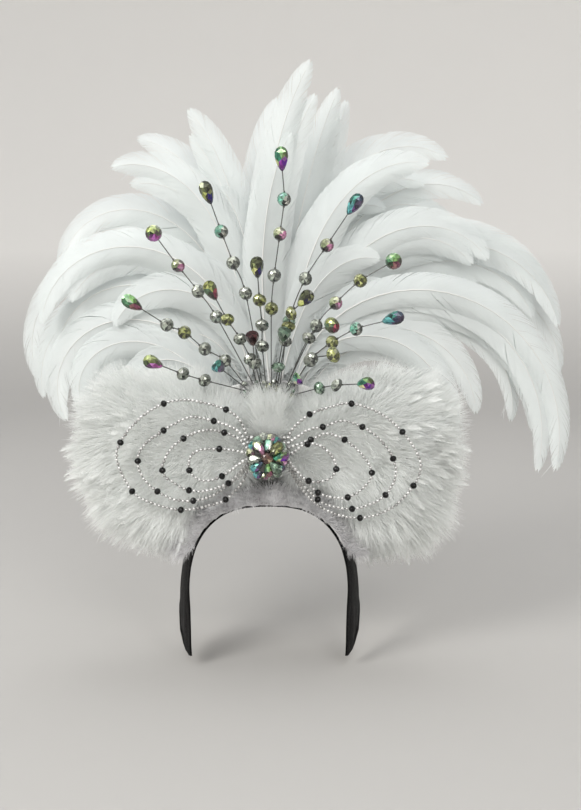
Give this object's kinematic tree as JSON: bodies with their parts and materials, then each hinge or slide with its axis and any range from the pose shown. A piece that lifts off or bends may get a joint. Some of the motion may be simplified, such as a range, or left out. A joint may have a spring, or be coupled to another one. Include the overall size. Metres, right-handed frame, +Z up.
{
  "type": "carnival feather headdress",
  "caption": "Carnival headdress: a black stretch head band that carries a tall white feather fan, deep white fur, wired pearl loops round a crystal brooch and a spray of crystal sprigs.",
  "frame": {"origin": "inside of the band's crown, where it rests on the top of the wearer's head", "axes": "+Z up, the wearer faces -Y, +X to the right of someone looking at the front"},
  "size_m": [0.5154, 0.2133, 0.5143],
  "materials": {
    "band": "satin",
    "felt": "matte",
    "edging_fur": "matte",
    "fluff": "matte",
    "plume": "satin",
    "wire_metal": "satin",
    "crystal": "gloss",
    "pearl": "gloss"
  },
  "bodies": {
    "root": {"cap_band": "band", "backing_panel": "felt", "forehead_trim": "edging_fur", "fluff_left": "fluff", "fluff_right": "fluff", "fluff_centre": "fluff", "spray_plate": "wire_metal", "brooch": "crystal", "plume_front_1": "plume", "plume_front_2": "plume", "plume_front_3": "plume", "plume_front_4": "plume", "plume_front_5": "plume", "plume_front_6": "plume", "plume_front_7": "plume", "plume_front_8": "plume", "plume_front_9": "plume", "plume_front_10": "plume", "plume_front_11": "plume", "plume_front_12": "plume", "plume_back_1": "plume", "plume_back_2": "plume", "plume_back_3": "plume", "plume_back_4": "plume", "plume_back_5": "plume", "plume_back_6": "plume", "plume_back_7": "plume", "plume_back_8": "plume", "plume_back_9": "plume", "plume_back_10": "plume", "plume_back_11": "plume", "plume_back_12": "plume", "plume_back_13": "plume", "sprig_1": "crystal", "sprig_2": "crystal", "sprig_3": "crystal", "sprig_4": "crystal", "sprig_5": "crystal", "sprig_6": "crystal", "sprig_7": "crystal", "sprig_8": "crystal", "sprig_9": "crystal", "sprig_10": "crystal", "sprig_11": "crystal", "sprig_12": "crystal", "sprig_13": "crystal", "sprig_14": "crystal", "sprig_15": "crystal", "sprig_16": "crystal", "sprig_17": "crystal", "sprig_18": "crystal", "loop_left_1": "pearl", "loop_left_2": "pearl", "loop_left_3": "pearl", "loop_left_4": "pearl", "loop_right_1": "pearl", "loop_right_2": "pearl", "loop_right_3": "pearl", "loop_right_4": "pearl"}
  },
  "joints": []
}
